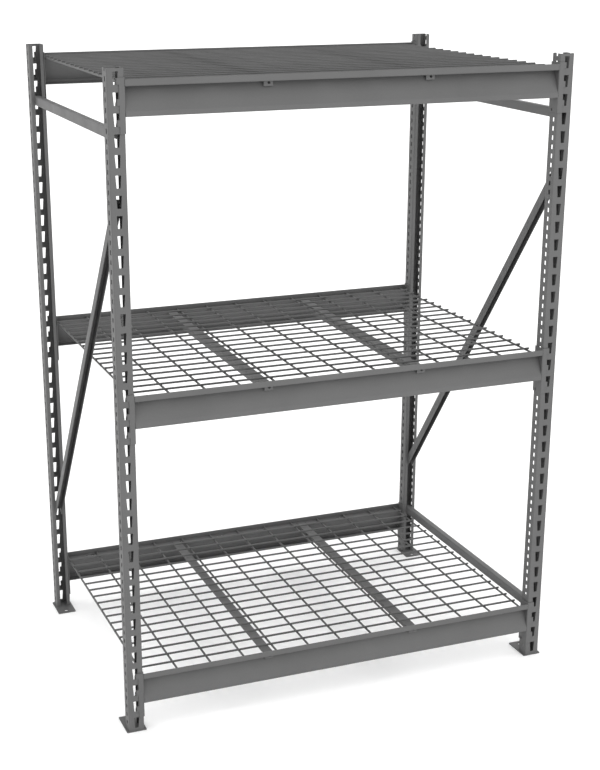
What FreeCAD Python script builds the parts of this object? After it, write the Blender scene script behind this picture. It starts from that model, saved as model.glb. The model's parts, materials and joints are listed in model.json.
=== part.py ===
import FreeCAD, Part
import math
import os

# Bulk storage rack: four slotted posts, hook-in step beams at three levels, loose wire decks on
# two deck supports a level, and braced end frames.  All sizes are in millimetres.
# Frame: +X to the right, +Y to the rear, +Z up, origin under the middle of the rack.

V = FreeCAD.Vector

# ---- driving dimensions ----
HEIGHT = 1828.8              # floor to the top of the posts
POST_SPACING = 1280.0        # left to right, between the centre lines of the posts
DEPTH = 910.0                # between the outer faces of the front and rear post webs
SHEET = 1.9                  # every pressed part is this thick

POST_WIDTH = 44.45
POST_DEPTH = 41.0
POST_LIP_GAP = 21.6          # open side of the post, between its two lips
BEND = 1.5                   # inside radius of an ordinary bend

SLOT_PITCH = 50.8
SLOT_COUNT = 36
FIRST_SLOT_DROP = 7.1        # from the top of the post to the top of its first slot
SLOT_HEIGHT = 32.5
SLOT_TOP_WIDTH = 15.2
SLOT_FOOT_WIDTH = 10.2
SLOT_CORNER = 1.0

SIDE_SLOT_PITCH = 25.4
SIDE_SLOT_COUNT = 71
SIDE_SLOT_HEIGHT = 12.7
SIDE_SLOT_WIDTH = 9.0
SIDE_SLOT_INSET = 18.3       # from the post's outer face to the middle of a side slot
FIRST_SIDE_SLOT_DROP = 19.8  # from the top of the post to the top of the first whole side slot

PLATE_WIDTH = 57.15
PLATE_LENGTH = 92.0
PLATE_THICK = 3.0
PLATE_OVERHANG = 2.2         # in front of the post's outer face
PLATE_CORNER = 2.0
ANCHOR_RADIUS = 6.35
ANCHOR_INSET = 16.5          # from the plate's inner end to its hole

LEVELS = {"bottom": 32, "middle": 16, "top": 0}   # the highest slot that each level hooks into
BEAM_DROP = 19.9             # from that slot's top to the top of the beam
BEAM_HEIGHT = 91.6
LIP_HEIGHT = 17.2
LEDGE_DEPTH = 28.5
FOOT_HEIGHT = 12.2           # upright band along the bottom of the beam, below the sloping wall
FOOT_FLANGE = 25.4
TIGHT_BEND = 0.8             # inside radius where the lip meets the ledge and the foot its flange
SOFT_BEND = 8.0              # inside radius where the sloping wall meets the foot
LEDGE_SLOT_PITCH = 152.4
LEDGE_SLOT_COUNT = 8
LEDGE_SLOT_LENGTH = 38.0
LEDGE_SLOT_WIDTH = 4.5
LEDGE_SLOT_INSET = 14.9      # from the beam's outer face to the middle of a slot

CONNECTOR_DROP = 15.7        # from the slot's top to the top of the connector
CONNECTOR_HEIGHT = 136.7
CONNECTOR_EDGE = 8.4         # from the post's centre line to the connector's free edge
CONNECTOR_DEPTH = 41.5
CONNECTOR_GAP = 0.05         # between the connector and the side of the post
HOOK_COUNT = 3
HOOK_EDGE = 1.4              # from the post's centre line to the near side of a hook
HOOK_TOP = 16.3              # these three are measured down from a slot's top
HOOK_NECK = 32.2
HOOK_NOSE = 39.0
HOOK_REACH = 13.5            # how far a hook reaches in behind the post's outer face
HOOK_SLOPE = 1.45            # drop of a hook's upper edge for each unit of reach
HOOK_GAP = 0.3               # between a hook's nose and the inside of the web
LOCK_HOLE_RADIUS = 4.2
LOCK_HOLE_INSET = 26.5       # from the post's outer face
LOCK_HOLE_RISE = 6.8         # from the connector's bottom end

SUPPORT_WIDTH = 31.8
SUPPORT_LEG = 43.2
SUPPORT_SIDES = {"left": -218.2, "right": 244.1}   # right-hand face of each support
SUPPORT_LEG_SETBACK = 33.0   # the leg stops this far from the beams' outer faces
TAB_WIDTH = 25.4
TAB_INSET = 13.9             # from the beam's outer face to the tab's outer face
TAB_DROP = 30.4              # from the beam's top to the tab's lower end
TAB_HOLE_DROP = 21.8
TAB_HOLE_RADIUS = 3.8
TAB_HOLE_SHIFT = 1.5         # from the middle of the tab to the hole

WIRE = 6.0                   # diameter of every deck wire
DECK_REST = 0.3              # running clearance between the deck and the ledges it lies on
WELD_GAP = 0.05              # between the two layers of wires
DEPTH_WIRE_COUNT = 13
DEPTH_WIRE_PITCH = 100.7
DEPTH_WIRE_FIRST = -612.5    # the leftmost depth wire
DEPTH_WIRE_LENGTH = 904.0
WIDTH_WIRE_COUNT = 17
WIDTH_WIRE_PITCH = 50.37
DECK_LEFT = -615.5
DECK_LENGTH = 1216.0

BRACE_WIDTH = 20.3
BRACE_HEIGHT = 26.0
BRACE_END_SETBACK = 25.0     # from the posts' outer faces to the ends of the braces
TOP_BRACE_DROP = 150.1       # from the top of the post to the top of the brace
LOW_BRACE_RISE = 176.5       # from the floor to the top of the brace
DIAGONAL_SLOPE = 1.345       # fall for each unit of run, front to rear

PROUD = 1.0                  # cutters stand proud, and solids to be fused overlap, by this much

# ---- derived ----
POST_X = {"left": -POST_SPACING / 2, "right": POST_SPACING / 2}
FRONT = -DEPTH / 2           # outer face of the front posts' webs
BEAM_FRONT = FRONT - SHEET   # outer face of the front beams, flush with their connectors


# ---- sheet-metal helpers ----
def turned_left(d):
    return (-d[1], d[0])


def directions(corners):
    """Unit direction of each run of an open outline."""
    runs = []
    for a, b in zip(corners, corners[1:]):
        length = math.hypot(b[0] - a[0], b[1] - a[1])
        runs.append(((b[0] - a[0]) / length, (b[1] - a[1]) / length))
    return runs


def offset_left(corners, distance):
    """The corners of the same outline moved to its left."""
    runs = directions(corners)
    normals = [turned_left(d) for d in runs]
    normals = [normals[0]] + normals + [normals[-1]]
    moved = []
    for corner, n1, n2 in zip(corners, normals, normals[1:]):
        k = distance / (1 + n1[0] * n2[0] + n1[1] * n2[1])
        moved.append((corner[0] + k * (n1[0] + n2[0]), corner[1] + k * (n1[1] + n2[1])))
    return moved


def rounded_edges(corners, radii, place):
    """Lines and tangent arcs along an open outline; radii has one value per inner corner."""
    runs = directions(corners)
    edges = []
    start = corners[0]
    for corner, d1, d2, radius in zip(corners[1:], runs, runs[1:], radii):
        half_turn = math.acos(d1[0] * d2[0] + d1[1] * d2[1]) / 2
        reach = radius * math.tan(half_turn)
        arc_in = (corner[0] - d1[0] * reach, corner[1] - d1[1] * reach)
        arc_out = (corner[0] + d2[0] * reach, corner[1] + d2[1] * reach)
        inward = (d2[0] - d1[0], d2[1] - d1[1])
        k = radius * (1 / math.cos(half_turn) - 1) / math.hypot(*inward)
        arc_mid = (corner[0] + k * inward[0], corner[1] + k * inward[1])
        edges.append(Part.LineSegment(place(*start), place(*arc_in)).toShape())
        edges.append(Part.Arc(place(*arc_in), place(*arc_mid), place(*arc_out)).toShape())
        start = arc_out
    edges.append(Part.LineSegment(place(*start), place(*corners[-1])).toShape())
    return edges


def sheet_face(corners, place, radii=None):
    """Cross-section of a bent sheet: corners follow one side, the metal is on their left."""
    if radii is None:
        radii = [BEND] * (len(corners) - 2)
    runs = directions(corners)
    left_turns = [d1[0] * d2[1] - d1[1] * d2[0] > 0 for d1, d2 in zip(runs, runs[1:])]
    near = [r + SHEET if left else r for r, left in zip(radii, left_turns)]
    far = [r if left else r + SHEET for r, left in zip(radii, left_turns)]
    other = offset_left(corners, SHEET)
    edges = rounded_edges(corners, near, place) + rounded_edges(other, far, place)
    edges.append(Part.LineSegment(place(*corners[0]), place(*other[0])).toShape())
    edges.append(Part.LineSegment(place(*corners[-1]), place(*other[-1])).toShape())
    return Part.Face(Part.Wire(Part.__sortEdges__(edges)))


def prism(points, travel):
    """Solid swept from a closed polygon."""
    return Part.Face(Part.makePolygon(points + points[:1])).extrude(travel)


def box(x0, x1, y0, y1, z0, z1):
    return Part.makeBox(x1 - x0, y1 - y0, z1 - z0, V(x0, y0, z0))


def softened(solid, axis, radius):
    """The solid with its edges along one axis rounded."""
    chosen = [e for e in solid.Edges if abs(e.tangentAt(e.FirstParameter).dot(axis)) > 0.99]
    return solid.makeFillet(radius, chosen)


def to_rear(shape):
    return shape.mirror(V(0, 0, 0), V(0, 1, 0))


def to_right(shape):
    return shape.mirror(V(0, 0, 0), V(1, 0, 0))


def slot_top(index):
    """Height of the top edge of a web slot, counted from 0 at the top of the post."""
    return HEIGHT - FIRST_SLOT_DROP - index * SLOT_PITCH


def beam_top(level):
    return slot_top(LEVELS[level]) - BEAM_DROP


# ---- end frames ----
def web_slot(index):
    """Keystone hole through the web, wide at the top."""
    top = slot_top(index)
    back = FRONT - PROUD
    wide = SLOT_TOP_WIDTH / 2
    narrow = SLOT_FOOT_WIDTH / 2
    outline = [
        V(-wide, back, top),
        V(wide, back, top),
        V(narrow, back, top - SLOT_HEIGHT),
        V(-narrow, back, top - SLOT_HEIGHT),
    ]
    through = V(0, SHEET + 2 * PROUD, 0)
    return softened(prism(outline, through), V(0, 1, 0), SLOT_CORNER)


def side_slot(index):
    """One cutter for the pair of small slots that face each other in the flanges."""
    top = HEIGHT - FIRST_SIDE_SLOT_DROP - index * SIDE_SLOT_PITCH
    middle = FRONT + SIDE_SLOT_INSET
    half = SIDE_SLOT_WIDTH / 2
    cutter = box(-POST_WIDTH, POST_WIDTH, middle - half, middle + half, top - SIDE_SLOT_HEIGHT, top)
    return softened(cutter, V(1, 0, 0), SLOT_CORNER)


def front_post():
    """Lipped channel, its slotted web outwards and its open side facing the rear post."""
    side = POST_WIDTH / 2
    lip = POST_LIP_GAP / 2
    outline = [(-lip, POST_DEPTH), (-side, POST_DEPTH), (-side, 0), (side, 0), (side, POST_DEPTH),
               (lip, POST_DEPTH)]
    face = sheet_face(outline, lambda x, y: V(x, FRONT + y, PLATE_THICK))
    channel = face.extrude(V(0, 0, HEIGHT - PLATE_THICK))
    cutters = [web_slot(i) for i in range(SLOT_COUNT)]
    cutters += [side_slot(i) for i in range(-1, SIDE_SLOT_COUNT)]
    return channel.cut(Part.makeCompound(cutters))


def front_base_plate():
    side = PLATE_WIDTH / 2
    outer = FRONT - PLATE_OVERHANG
    inner = outer + PLATE_LENGTH
    plate = softened(box(-side, side, outer, inner, 0, PLATE_THICK), V(0, 0, 1), PLATE_CORNER)
    hole = Part.makeCylinder(ANCHOR_RADIUS, PLATE_THICK, V(0, inner - ANCHOR_INSET, 0))
    return plate.cut(hole)


def brace(length):
    """Channel along Y, open side down, its section centred on the origin."""
    side = BRACE_WIDTH / 2
    half = BRACE_HEIGHT / 2
    outline = [(side, -half), (side, half), (-side, half), (-side, -half)]
    face = sheet_face(outline, lambda x, z: V(x, -length / 2, z))
    return face.extrude(V(0, length, 0))


def level_brace(top):
    channel = brace(DEPTH - 2 * BRACE_END_SETBACK)
    channel.translate(V(0, 0, top - BRACE_HEIGHT / 2))
    return channel


def diagonal_brace():
    """Falls from the front post to the rear post, open side forwards and down."""
    run = DEPTH - 2 * BRACE_END_SETBACK
    channel = brace(run * math.hypot(1, DIAGONAL_SLOPE))
    channel.rotate(V(0, 0, 0), V(1, 0, 0), -math.degrees(math.atan(DIAGONAL_SLOPE)))
    channel.translate(V(0, 0, (HEIGHT + PLATE_THICK) / 2))
    return channel


def end_frames():
    parts = {}
    for side, x in POST_X.items():
        for end, turn in (("front", lambda s: s), ("rear", to_rear)):
            parts[f"post_{end}_{side}"] = (turn(front_post()), x)
            parts[f"base_plate_{end}_{side}"] = (turn(front_base_plate()), x)
        parts[f"brace_{side}_top"] = (level_brace(HEIGHT - TOP_BRACE_DROP), x)
        parts[f"brace_{side}_diagonal"] = (diagonal_brace(), x)
    parts["brace_right_bottom"] = (level_brace(LOW_BRACE_RISE), POST_X["right"])
    for shape, x in parts.values():
        shape.translate(V(x, 0, 0))
    return {name: shape for name, (shape, x) in parts.items()}


# ---- beams and their connectors ----
def beam_end():
    """Half the length of a beam, which fits between the connectors."""
    return POST_SPACING / 2 - POST_WIDTH / 2 - CONNECTOR_GAP - SHEET


def front_beam(level):
    """Step beam: lip, slotted ledge, wall that slopes forward again, upright foot and flange."""
    top = beam_top(level)
    outline = [(0, 0), (0, -LIP_HEIGHT), (LEDGE_DEPTH, -LIP_HEIGHT), (0, FOOT_HEIGHT - BEAM_HEIGHT),
               (0, -BEAM_HEIGHT), (FOOT_FLANGE, -BEAM_HEIGHT)]
    radii = [TIGHT_BEND, BEND, SOFT_BEND, TIGHT_BEND]
    end = beam_end()
    face = sheet_face(outline, lambda y, z: V(-end, BEAM_FRONT + y, top + z), radii)
    bar = face.extrude(V(2 * end, 0, 0))
    middle = BEAM_FRONT + LEDGE_SLOT_INSET
    cutters = []
    for i in range(LEDGE_SLOT_COUNT):
        x = (i - (LEDGE_SLOT_COUNT - 1) / 2) * LEDGE_SLOT_PITCH
        cutter = box(x - LEDGE_SLOT_LENGTH / 2, x + LEDGE_SLOT_LENGTH / 2,
                     middle - LEDGE_SLOT_WIDTH / 2, middle + LEDGE_SLOT_WIDTH / 2,
                     top - LIP_HEIGHT - PROUD, top - LIP_HEIGHT + SHEET + PROUD)
        cutters.append(softened(cutter, V(0, 0, 1), BEND))
    return bar.cut(Part.makeCompound(cutters))


def hook(top):
    """Tab across the slot, bent back through it and down behind the web; top is the slot's top."""
    root = HOOK_EDGE + SHEET
    bend = sheet_face([(HOOK_EDGE, root), (HOOK_EDGE, -SHEET), (CONNECTOR_EDGE + PROUD, -SHEET)],
                      lambda x, y: V(x, FRONT + y, top - HOOK_NECK), [BEND / 2])
    tab = bend.extrude(V(0, 0, HOOK_NECK - HOOK_TOP))
    behind = SHEET + HOOK_GAP
    shoulder = HOOK_TOP + HOOK_SLOPE * (HOOK_REACH - root)
    fin = [(SHEET / 2, HOOK_TOP), (root, HOOK_TOP), (HOOK_REACH, shoulder),
           (HOOK_REACH, HOOK_NOSE - BEND), (HOOK_REACH - BEND, HOOK_NOSE), (behind, HOOK_NOSE),
           (behind, HOOK_NECK), (SHEET / 2, HOOK_NECK)]
    outline = [V(HOOK_EDGE, FRONT + y, top - drop) for y, drop in fin]
    return tab.fuse(prism(outline, V(SHEET, 0, 0)))


def front_left_connector(level):
    """Angle round the post's inner corner, with hooks; on the post's centre line at X = 0."""
    first = LEVELS[level]
    top = slot_top(first) - CONNECTOR_DROP
    outer = POST_WIDTH / 2 + CONNECTOR_GAP + SHEET
    outline = [(CONNECTOR_EDGE, -SHEET), (outer, -SHEET), (outer, CONNECTOR_DEPTH)]
    face = sheet_face(outline, lambda x, y: V(x, FRONT + y, top - CONNECTOR_HEIGHT))
    angle = face.extrude(V(0, 0, CONNECTOR_HEIGHT))
    angle = angle.fuse([hook(slot_top(first + i)) for i in range(HOOK_COUNT)])
    lock_hole = Part.makeCylinder(
        LOCK_HOLE_RADIUS, POST_WIDTH,
        V(0, FRONT + LOCK_HOLE_INSET, top - CONNECTOR_HEIGHT + LOCK_HOLE_RISE), V(1, 0, 0))
    return angle.cut(lock_hole).removeSplitter()


def beams():
    parts = {}
    for level in LEVELS:
        beam = front_beam(level)
        parts[f"beam_{level}_front"] = beam
        parts[f"beam_{level}_rear"] = to_rear(beam)
        left = front_left_connector(level)
        left.translate(V(POST_X["left"], 0, 0))
        right = to_right(left)
        parts[f"connector_{level}_front_left"] = left
        parts[f"connector_{level}_front_right"] = right
        parts[f"connector_{level}_rear_left"] = to_rear(left)
        parts[f"connector_{level}_rear_right"] = to_rear(right)
    return parts


# ---- decks and their supports ----
def deck_support(level, right):
    """Angle from front to rear, its tabs dropped through the slots of the two ledges."""
    top = beam_top(level) - LIP_HEIGHT + 2 * SHEET
    left = right - SUPPORT_WIDTH
    leg_end = BEAM_FRONT + SUPPORT_LEG_SETBACK
    section = sheet_face([(right, top - SUPPORT_LEG), (right, top), (left, top)],
                         lambda x, z: V(x, leg_end, z))
    angle = section.extrude(V(0, -2 * leg_end, 0))
    tab_face = BEAM_FRONT + TAB_INSET
    tab_foot = beam_top(level) - TAB_DROP
    tab_left = left + (SUPPORT_WIDTH - TAB_WIDTH) / 2
    end = sheet_face([(leg_end + PROUD, top), (tab_face, top), (tab_face, tab_foot)],
                     lambda y, z: V(tab_left, y, z))
    strip = end.extrude(V(TAB_WIDTH, 0, 0))
    hole_centre = V((left + right) / 2 + TAB_HOLE_SHIFT, BEAM_FRONT, beam_top(level) - TAB_HOLE_DROP)
    hole = Part.makeCylinder(TAB_HOLE_RADIUS, SUPPORT_LEG_SETBACK, hole_centre, V(0, 1, 0))
    strip = strip.cut(hole)
    return angle.fuse([strip, to_rear(strip)]).removeSplitter()


def wires(start, length, axis, step, count):
    """A row of separate round wires in one compound."""
    row = [Part.makeCylinder(WIRE / 2, length, start + step * i, axis) for i in range(count)]
    return Part.makeCompound(row)


def deck(level):
    """The depth wires lie on the ledges and the width wires lie on them."""
    ledge = beam_top(level) - LIP_HEIGHT + SHEET
    lower = ledge + WIRE / 2 + DECK_REST
    upper = lower + WIRE + WELD_GAP
    depth_wires = wires(V(DEPTH_WIRE_FIRST, -DEPTH_WIRE_LENGTH / 2, lower), DEPTH_WIRE_LENGTH,
                        V(0, 1, 0), V(DEPTH_WIRE_PITCH, 0, 0), DEPTH_WIRE_COUNT)
    first_y = -WIDTH_WIRE_PITCH * (WIDTH_WIRE_COUNT - 1) / 2
    width_wires = wires(V(DECK_LEFT, first_y, upper), DECK_LENGTH,
                        V(1, 0, 0), V(0, WIDTH_WIRE_PITCH, 0), WIDTH_WIRE_COUNT)
    return depth_wires, width_wires


def decks():
    parts = {}
    for level in LEVELS:
        for side, right in SUPPORT_SIDES.items():
            parts[f"deck_support_{level}_{side}"] = deck_support(level, right)
        depth_wires, width_wires = deck(level)
        parts[f"deck_{level}_depth_wires"] = depth_wires
        parts[f"deck_{level}_width_wires"] = width_wires
    return parts


def main():
    os.makedirs("parts", exist_ok=True)
    nodes = {}
    nodes.update(end_frames())
    nodes.update(beams())
    nodes.update(decks())
    for name, shape in nodes.items():
        shape.exportStep(f"parts/{name}.step")
        print(name, len(shape.Solids), "solid(s)", round(shape.Volume), "mm3", shape.isValid())


main()
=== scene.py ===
import json
import math
import random

import bpy
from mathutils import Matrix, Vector

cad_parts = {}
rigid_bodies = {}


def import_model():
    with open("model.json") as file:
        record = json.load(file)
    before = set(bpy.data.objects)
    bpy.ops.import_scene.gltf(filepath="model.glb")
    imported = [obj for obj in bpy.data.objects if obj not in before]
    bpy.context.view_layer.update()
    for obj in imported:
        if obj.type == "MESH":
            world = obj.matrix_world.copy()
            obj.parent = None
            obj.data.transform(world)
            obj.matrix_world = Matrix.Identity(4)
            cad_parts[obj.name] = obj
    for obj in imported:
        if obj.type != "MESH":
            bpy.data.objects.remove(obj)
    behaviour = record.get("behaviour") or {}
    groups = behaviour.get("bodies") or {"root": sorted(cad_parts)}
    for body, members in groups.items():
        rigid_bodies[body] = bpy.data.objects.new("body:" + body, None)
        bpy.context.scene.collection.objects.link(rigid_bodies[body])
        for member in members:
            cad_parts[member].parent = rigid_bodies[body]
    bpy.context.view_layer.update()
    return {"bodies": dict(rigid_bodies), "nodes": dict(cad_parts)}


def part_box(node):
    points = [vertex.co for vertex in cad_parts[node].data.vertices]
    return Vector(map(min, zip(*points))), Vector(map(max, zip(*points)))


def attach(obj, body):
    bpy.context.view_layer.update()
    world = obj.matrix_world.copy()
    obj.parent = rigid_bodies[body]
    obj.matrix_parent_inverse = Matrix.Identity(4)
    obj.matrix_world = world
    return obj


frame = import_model()

MM = 0.001
LEVELS = ("bottom", "middle", "top")
SIDES = ("left", "right")
ENDS = ("front", "rear")

# ---- camera ----
CAMERA_AT = (-1.6154, -4.0169, 2.1397)
CAMERA_TOWARDS = (0.34668, 0.88382, -0.31412)
CAMERA_LENS = 68.778
CAMERA_SHIFT = (0.03129, 0.04622)

# ---- paint ----
PAINT = (0.101, 0.101, 0.101)
WIRE_PAINT = (0.082, 0.082, 0.082)
# Colour of worn-through steel, also used as a painted highlight along every edge.
STEEL_AND_EDGE_HIGHLIGHT = (0.32, 0.31, 0.30)
FLOOR_PAINT = (0.97, 0.97, 0.97)
COAT_PEEL = 0.06 * MM        # depth of the orange peel on the pressed steel
WIRE_PEEL = 0.05 * MM
COAT_WEAR = 0.35             # share of steel showing along the worn stretches of an edge
WIRE_WEAR = 0.2
EDGE_HIGHLIGHT_SHARE = 0.12            # painted edge highlight: share of the steel colour along every edge
EDGE_RADIUS = 0.7 * MM
PAINTED_SHADE_REACH = 40 * MM       # how near another surface has to be for the painted shade to darken the paint
PAINTED_SHADE_TONE = 0.84           # painted shade: the paint's tone in the tightest corners, against the open faces

# ---- stage and lights ----
FLOOR_HALF = 150.0
FLOOR_DROP = 0.2 * MM        # below the plates, so that the faces don't coincide
WORLD_STRENGTH = 1.45
KEY = {"at": (0.2, -5.8, 3.4), "towards": (0.0, 0.0, 0.9), "size": 3.0, "power": 28.0}
FILL = {"at": (1.8, -5.6, 0.9), "towards": (0.0, 0.0, 0.6), "size": 3.0, "power": 42.0}

# ---- weld beads ----
BEAD_RADIUS = 1.3 * MM
BEAD_RIPPLE = 1.6 * MM       # distance between two ripples
BEAD_SIDES = 7
BEAD_SINK = 0.2 * MM         # how far a bead's middle sits into the piece that it joins
BEAD_PROUD = 0.3 * MM        # how far it stands off a face that it runs along
BRACE_BEAD_INSET = 2 * MM    # a brace's bead stops this far from its corners
BRACE_SLOPE = 1.345          # rise over run of the diagonal braces
BRACE_HALF_HEIGHT = 13 * MM  # half the width of a diagonal brace's side face
# Inside of a beam's profile, above and below its ledge: mm inwards from its outer face, mm down from its top.
BEAM_PROFILE = (
    ((1.9, 1.0), (1.9, 15.3), (25.0, 15.3)),
    ((28.8, 22.0), (3.5, 77.0), (2.2, 88.5)),
)
SPOT_WELD_RADIUS = 2.6 * MM
SPOT_WELD_HEIGHT = 1.6 * MM
SPOT_WELD_RINGS = 6
SPOT_WELD_SLICES = 10
DEPTH_WIRES = 13
WIDTH_WIRES = 17


def camera():
    data = bpy.data.cameras.new("camera")
    data.lens = CAMERA_LENS
    data.sensor_width = 36.0
    data.shift_x, data.shift_y = CAMERA_SHIFT
    data.clip_end = 100.0
    made = bpy.data.objects.new("camera", data)
    bpy.context.scene.collection.objects.link(made)
    made.location = CAMERA_AT
    made.rotation_mode = "QUATERNION"
    made.rotation_quaternion = Vector(CAMERA_TOWARDS).to_track_quat("-Z", "Y")
    bpy.context.scene.camera = made


# ---- materials ----
class Shader:
    """Short names for building a node tree round one Principled BSDF."""

    def __init__(self, name):
        self.material = bpy.data.materials.new(name)
        self.material.use_nodes = True
        self.tree = self.material.node_tree
        self.bsdf = self.tree.nodes["Principled BSDF"]
        self.where = self.node("ShaderNodeTexCoord").outputs["Object"]

    def node(self, kind, **settings):
        made = self.tree.nodes.new(kind)
        for key, value in settings.items():
            setattr(made, key, value)
        return made

    def feed(self, value, socket):
        if isinstance(value, bpy.types.NodeSocket):
            self.tree.links.new(value, socket)
        else:
            socket.default_value = value

    def noise(self, size, detail):
        """Noise from 0 to 1 whose patches are about size metres across."""
        made = self.node("ShaderNodeTexNoise")
        self.feed(self.where, made.inputs["Vector"])
        self.feed(1 / size, made.inputs["Scale"])
        self.feed(detail, made.inputs["Detail"])
        return made.outputs["Fac"]

    def math(self, operation, a, b, clamp=False):
        made = self.node("ShaderNodeMath", operation=operation, use_clamp=clamp)
        self.feed(a, made.inputs[0])
        self.feed(b, made.inputs[1])
        return made.outputs[0]

    def span(self, value, low, high, to_low=0.0, to_high=1.0):
        """The value moved from low..high to to_low..to_high, and clamped."""
        made = self.node("ShaderNodeMapRange")
        for socket, given in zip(made.inputs, (value, low, high, to_low, to_high)):
            self.feed(given, socket)
        return made.outputs[0]

    def blend(self, share, a, b):
        made = self.node("ShaderNodeMix", data_type="RGBA")
        self.feed(share, made.inputs[0])
        self.feed(a, made.inputs[6])
        self.feed(b, made.inputs[7])
        return made.outputs[2]

    def bump(self, height, distance, strength, normal):
        made = self.node("ShaderNodeBump")
        self.feed(strength, made.inputs["Strength"])
        self.feed(distance, made.inputs["Distance"])
        self.feed(height, made.inputs["Height"])
        self.feed(normal, made.inputs["Normal"])
        return made.outputs[0]


def rgba(colour, gain=1.0):
    return tuple(min(c * gain, 1.0) for c in colour) + (1.0,)


def powder_coat(name, colour, peel, wear):
    """Baked powder paint on steel: fine orange peel, faint mottling, a painted highlight along every edge
    with patchy worn stretches, and painted shade in corners and recesses.
    """
    s = Shader(name)
    mottle = s.noise(220 * MM, 3.0)
    speckle = s.noise(4 * MM, 2.0)
    tone = s.math("ADD", s.math("MULTIPLY", mottle, 0.75), s.math("MULTIPLY", speckle, 0.25))
    paint = s.blend(s.span(tone, 0.35, 0.65), rgba(colour, 0.94), rgba(colour, 1.06))

    geometry = s.node("ShaderNodeNewGeometry")
    rounded = s.node("ShaderNodeBevel", samples=4)
    s.feed(EDGE_RADIUS, rounded.inputs["Radius"])
    level = s.node("ShaderNodeVectorMath", operation="DOT_PRODUCT")
    s.feed(rounded.outputs[0], level.inputs[0])
    s.feed(geometry.outputs["Normal"], level.inputs[1])
    edge = s.span(level.outputs["Value"], 0.995, 0.90)
    # Painted highlight: every edge is lightened towards the steel colour. The patchy share added on top of it
    # is wear.
    patchy = s.span(s.noise(12 * MM, 4.0), 0.50, 0.72)
    wear_and_highlight = s.math("ADD", s.math("MULTIPLY", patchy, wear), EDGE_HIGHLIGHT_SHARE)
    edge_highlight_and_wear = s.math("MULTIPLY", edge, wear_and_highlight, clamp=True)
    coated = s.blend(edge_highlight_and_wear, paint, rgba(STEEL_AND_EDGE_HIGHLIGHT))

    # Painted shade: the base colour is darkened by ambient occlusion where other surfaces are near, down to
    # the tone set for the tightest corners.
    painted_shade_ao = s.node("ShaderNodeAmbientOcclusion", samples=6)
    s.feed(PAINTED_SHADE_REACH, painted_shade_ao.inputs["Distance"])
    painted_shade_share = s.span(painted_shade_ao.outputs["AO"], 0.25, 0.95)
    s.feed(s.blend(painted_shade_share, rgba(colour, PAINTED_SHADE_TONE), coated), s.bsdf.inputs["Base Color"])

    rough = s.span(s.noise(50 * MM, 4.0), 0.3, 0.7, 0.46, 0.58)
    s.feed(rough, s.bsdf.inputs["Roughness"])
    s.feed(0.20, s.bsdf.inputs["Specular IOR Level"])
    waves = s.noise(1.6 * MM, 1.0)
    s.feed(s.bump(waves, peel, 0.35, rounded.outputs[0]), s.bsdf.inputs["Normal"])
    return s.material


def floor_finish():
    """Matt pale floor, very faintly patchy."""
    s = Shader("floor")
    patches = s.noise(1.4, 3.0)
    s.feed(s.blend(patches, rgba(FLOOR_PAINT, 0.995), rgba(FLOOR_PAINT, 1.0)), s.bsdf.inputs["Base Color"])
    s.feed(s.span(patches, 0.3, 0.7, 0.72, 0.80), s.bsdf.inputs["Roughness"])
    s.feed(0.2, s.bsdf.inputs["Specular IOR Level"])
    return s.material


# ---- pieces ----
def mesh_piece(name, points, faces, material, body):
    """A smooth mesh that rides one of the bodies."""
    mesh = bpy.data.meshes.new(name)
    mesh.from_pydata(points, [], faces)
    mesh.polygons.foreach_set("use_smooth", [True] * len(faces))
    mesh.materials.append(material)
    made = bpy.data.objects.new(name, mesh)
    bpy.context.scene.collection.objects.link(made)
    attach(made, body)
    return made


def bead_mesh(runs, radius, chance):
    """Closed tubes along the runs, their radius rippled like a weld's."""
    points = []
    faces = []
    for run in runs:
        corners = [Vector(p) for p in run]
        spine = []
        for a, b in zip(corners, corners[1:]):
            steps = max(2, round((b - a).length / (BEAD_RIPPLE / 2)))
            spine += [(a.lerp(b, i / steps), (b - a).normalized()) for i in range(steps)]
        spine.append((corners[-1], spine[-1][1]))
        first = len(points)
        for i, (centre, along) in enumerate(spine):
            side = along.orthogonal().normalized()
            other = along.cross(side)
            end = min(i, len(spine) - 1 - i)
            swell = min(1.0, 0.35 + 0.3 * end)
            ripple = 1.0 + (0.10 if i % 2 else -0.06) + chance.uniform(-0.05, 0.05)
            for k in range(BEAD_SIDES):
                turn = 2 * math.pi * k / BEAD_SIDES
                reach = radius * swell * ripple
                points.append(centre + side * (math.cos(turn) * reach) + other * (math.sin(turn) * reach))
        for i in range(len(spine) - 1):
            for k in range(BEAD_SIDES):
                a = first + i * BEAD_SIDES + k
                b = first + i * BEAD_SIDES + (k + 1) % BEAD_SIDES
                faces.append((a, b, b + BEAD_SIDES, a + BEAD_SIDES))
        last = len(points) - BEAD_SIDES
        faces.append(tuple(range(first + BEAD_SIDES - 1, first - 1, -1)))
        faces.append(tuple(range(last, last + BEAD_SIDES)))
    return points, faces


def mirrored(run, x, y):
    return [(p[0] * x, p[1] * y, p[2]) for p in run]


def plate_runs():
    """Round the outside of each post where it stands on its base plate."""
    runs = []
    for node in (f"post_{e}_{s}" for e in ENDS for s in SIDES):
        low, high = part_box(node)
        front = node.startswith("post_front")
        web = low.y if front else high.y
        inner = high.y if front else low.y
        z = low.z + BEAD_PROUD
        runs.append([(low.x, inner, z), (low.x, web, z), (high.x, web, z), (high.x, inner, z)])
    return runs


def beam_runs():
    """Up each end of each beam, inside the profile, against the connector."""
    runs = []
    for node in (f"beam_{l}_front" for l in LEVELS):
        low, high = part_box(node)
        for line in BEAM_PROFILE:
            run = [(low.x + BEAD_SINK, low.y + inwards * MM, high.z - down * MM) for inwards, down in line]
            runs += [mirrored(run, x, y) for x in (1, -1) for y in (1, -1)]
    return runs


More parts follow.
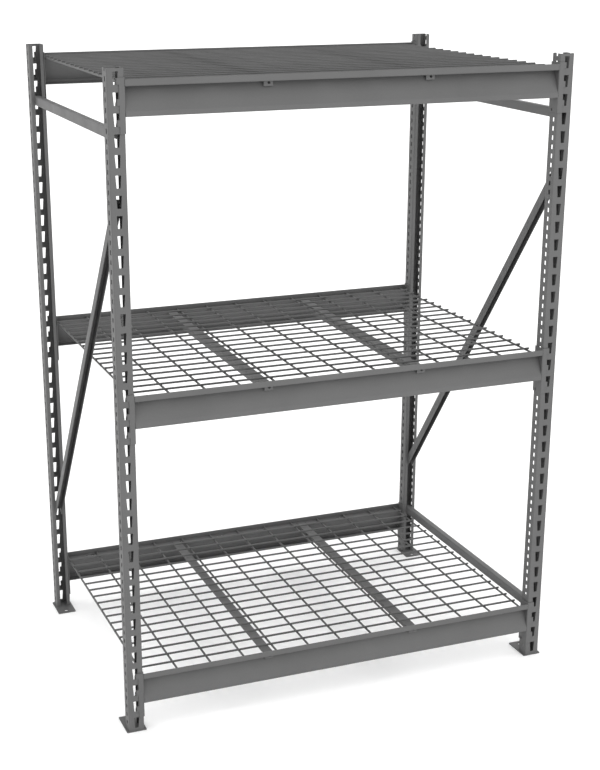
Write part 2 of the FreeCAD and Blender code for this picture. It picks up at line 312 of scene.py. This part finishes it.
def brace_runs():
    """Up both sides of each brace, where it meets the lips of its two posts."""
    runs = []
    lip = abs(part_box("post_front_left")[1].y)
    reach = lip - BEAD_SINK
    for side in SIDES:
        names = [f"brace_{side}_top", f"brace_{side}_diagonal"]
        if side == "right":
            names.append("brace_right_bottom")
        for node in names:
            low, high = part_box(node)
            middle = (low.z + high.z) / 2
            if node.endswith("diagonal"):
                half = BRACE_HALF_HEIGHT * math.hypot(1, BRACE_SLOPE)
                drop = lip * BRACE_SLOPE
            else:
                half = (high.z - low.z) / 2
                drop = 0.0
            for end in (-1, 1):
                bottom = middle - end * drop - half + BRACE_BEAD_INSET
                top = middle - end * drop + half - BRACE_BEAD_INSET
                for x in (low.x - BEAD_PROUD, high.x + BEAD_PROUD):
                    runs.append([(x, end * reach, bottom), (x, end * reach, top)])
    return runs


def evenly(low, high, count):
    return [low + i * (high - low) / (count - 1) for i in range(count)]


def spot_welds(level, chance):
    """A small flattened blob where each pair of deck wires crosses."""
    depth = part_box(f"deck_{level}_depth_wires")
    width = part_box(f"deck_{level}_width_wires")
    radius = (depth[1].z - depth[0].z) / 2
    xs = evenly(depth[0].x + radius, depth[1].x - radius, DEPTH_WIRES)
    ys = evenly(width[0].y + radius, width[1].y - radius, WIDTH_WIRES)
    z = (depth[1].z + width[0].z) / 2
    rings = SPOT_WELD_RINGS
    slices = SPOT_WELD_SLICES
    points = []
    faces = []
    for x in xs:
        for y in ys:
            first = len(points)
            spread = SPOT_WELD_RADIUS * chance.uniform(0.9, 1.15)
            tall = SPOT_WELD_HEIGHT * chance.uniform(0.9, 1.1)
            for r in range(1, rings):
                tilt = math.pi * r / rings
                for k in range(slices):
                    turn = 2 * math.pi * k / slices
                    points.append((x + spread * math.sin(tilt) * math.cos(turn),
                                   y + spread * math.sin(tilt) * math.sin(turn),
                                   z + tall * math.cos(tilt)))
            points += [(x, y, z + tall), (x, y, z - tall)]
            top, foot = len(points) - 2, len(points) - 1
            for r in range(rings - 2):
                for k in range(slices):
                    a = first + r * slices + k
                    b = first + r * slices + (k + 1) % slices
                    faces.append((a, a + slices, b + slices, b))
            for k in range(slices):
                nxt = (k + 1) % slices
                low_ring = first + (rings - 2) * slices
                faces.append((top, first + k, first + nxt))
                faces.append((foot, low_ring + nxt, low_ring + k))
    return points, faces


def dress_nodes(coat, wire):
    for name, node in frame["nodes"].items():
        node.data.materials.clear()
        node.data.materials.append(wire if name.endswith("wires") else coat)


def add_welds(coat, wire):
    chance = random.Random(7)
    seams = {"weld_plates": plate_runs(), "weld_beams": beam_runs(), "weld_braces": brace_runs()}
    for name, runs in seams.items():
        points, faces = bead_mesh(runs, BEAD_RADIUS, chance)
        mesh_piece(name, points, faces, coat, "rack")
    for level in LEVELS:
        points, faces = spot_welds(level, chance)
        mesh_piece(f"spot_welds_{level}", points, faces, wire, f"deck_{level}")


# ---- stage ----
def area_light(name, at, towards, size, power):
    data = bpy.data.lights.new(name, "AREA")
    data.size = size
    data.energy = power
    made = bpy.data.objects.new(name, data)
    bpy.context.scene.collection.objects.link(made)
    made.location = at
    made.rotation_mode = "QUATERNION"
    made.rotation_quaternion = (Vector(towards) - Vector(at)).to_track_quat("-Z", "Y")


def floor():
    corners = [(-1, -1), (1, -1), (1, 1), (-1, 1)]
    mesh = bpy.data.meshes.new("floor")
    mesh.from_pydata([(x * FLOOR_HALF, y * FLOOR_HALF, -FLOOR_DROP) for x, y in corners], [], [(0, 1, 2, 3)])
    mesh.materials.append(floor_finish())
    made = bpy.data.objects.new("floor", mesh)
    bpy.context.scene.collection.objects.link(made)


def world():
    made = bpy.data.worlds.new("studio")
    made.use_nodes = True
    made.node_tree.nodes["Background"].inputs["Color"].default_value = (1, 1, 1, 1)
    made.node_tree.nodes["Background"].inputs["Strength"].default_value = WORLD_STRENGTH
    bpy.context.scene.world = made


def main():
    kept = set(frame["nodes"].values()) | set(frame["bodies"].values())
    for o in list(bpy.data.objects):
        if o not in kept:
            bpy.data.objects.remove(o)
    bpy.context.scene.view_settings.view_transform = "Standard"
    camera()
    coat = powder_coat("powder_coat", PAINT, COAT_PEEL, COAT_WEAR)
    wire = powder_coat("wire_coat", WIRE_PAINT, WIRE_PEEL, WIRE_WEAR)
    dress_nodes(coat, wire)
    add_welds(coat, wire)
    floor()
    world()
    area_light("key", **KEY)
    area_light("fill", **FILL)


main()
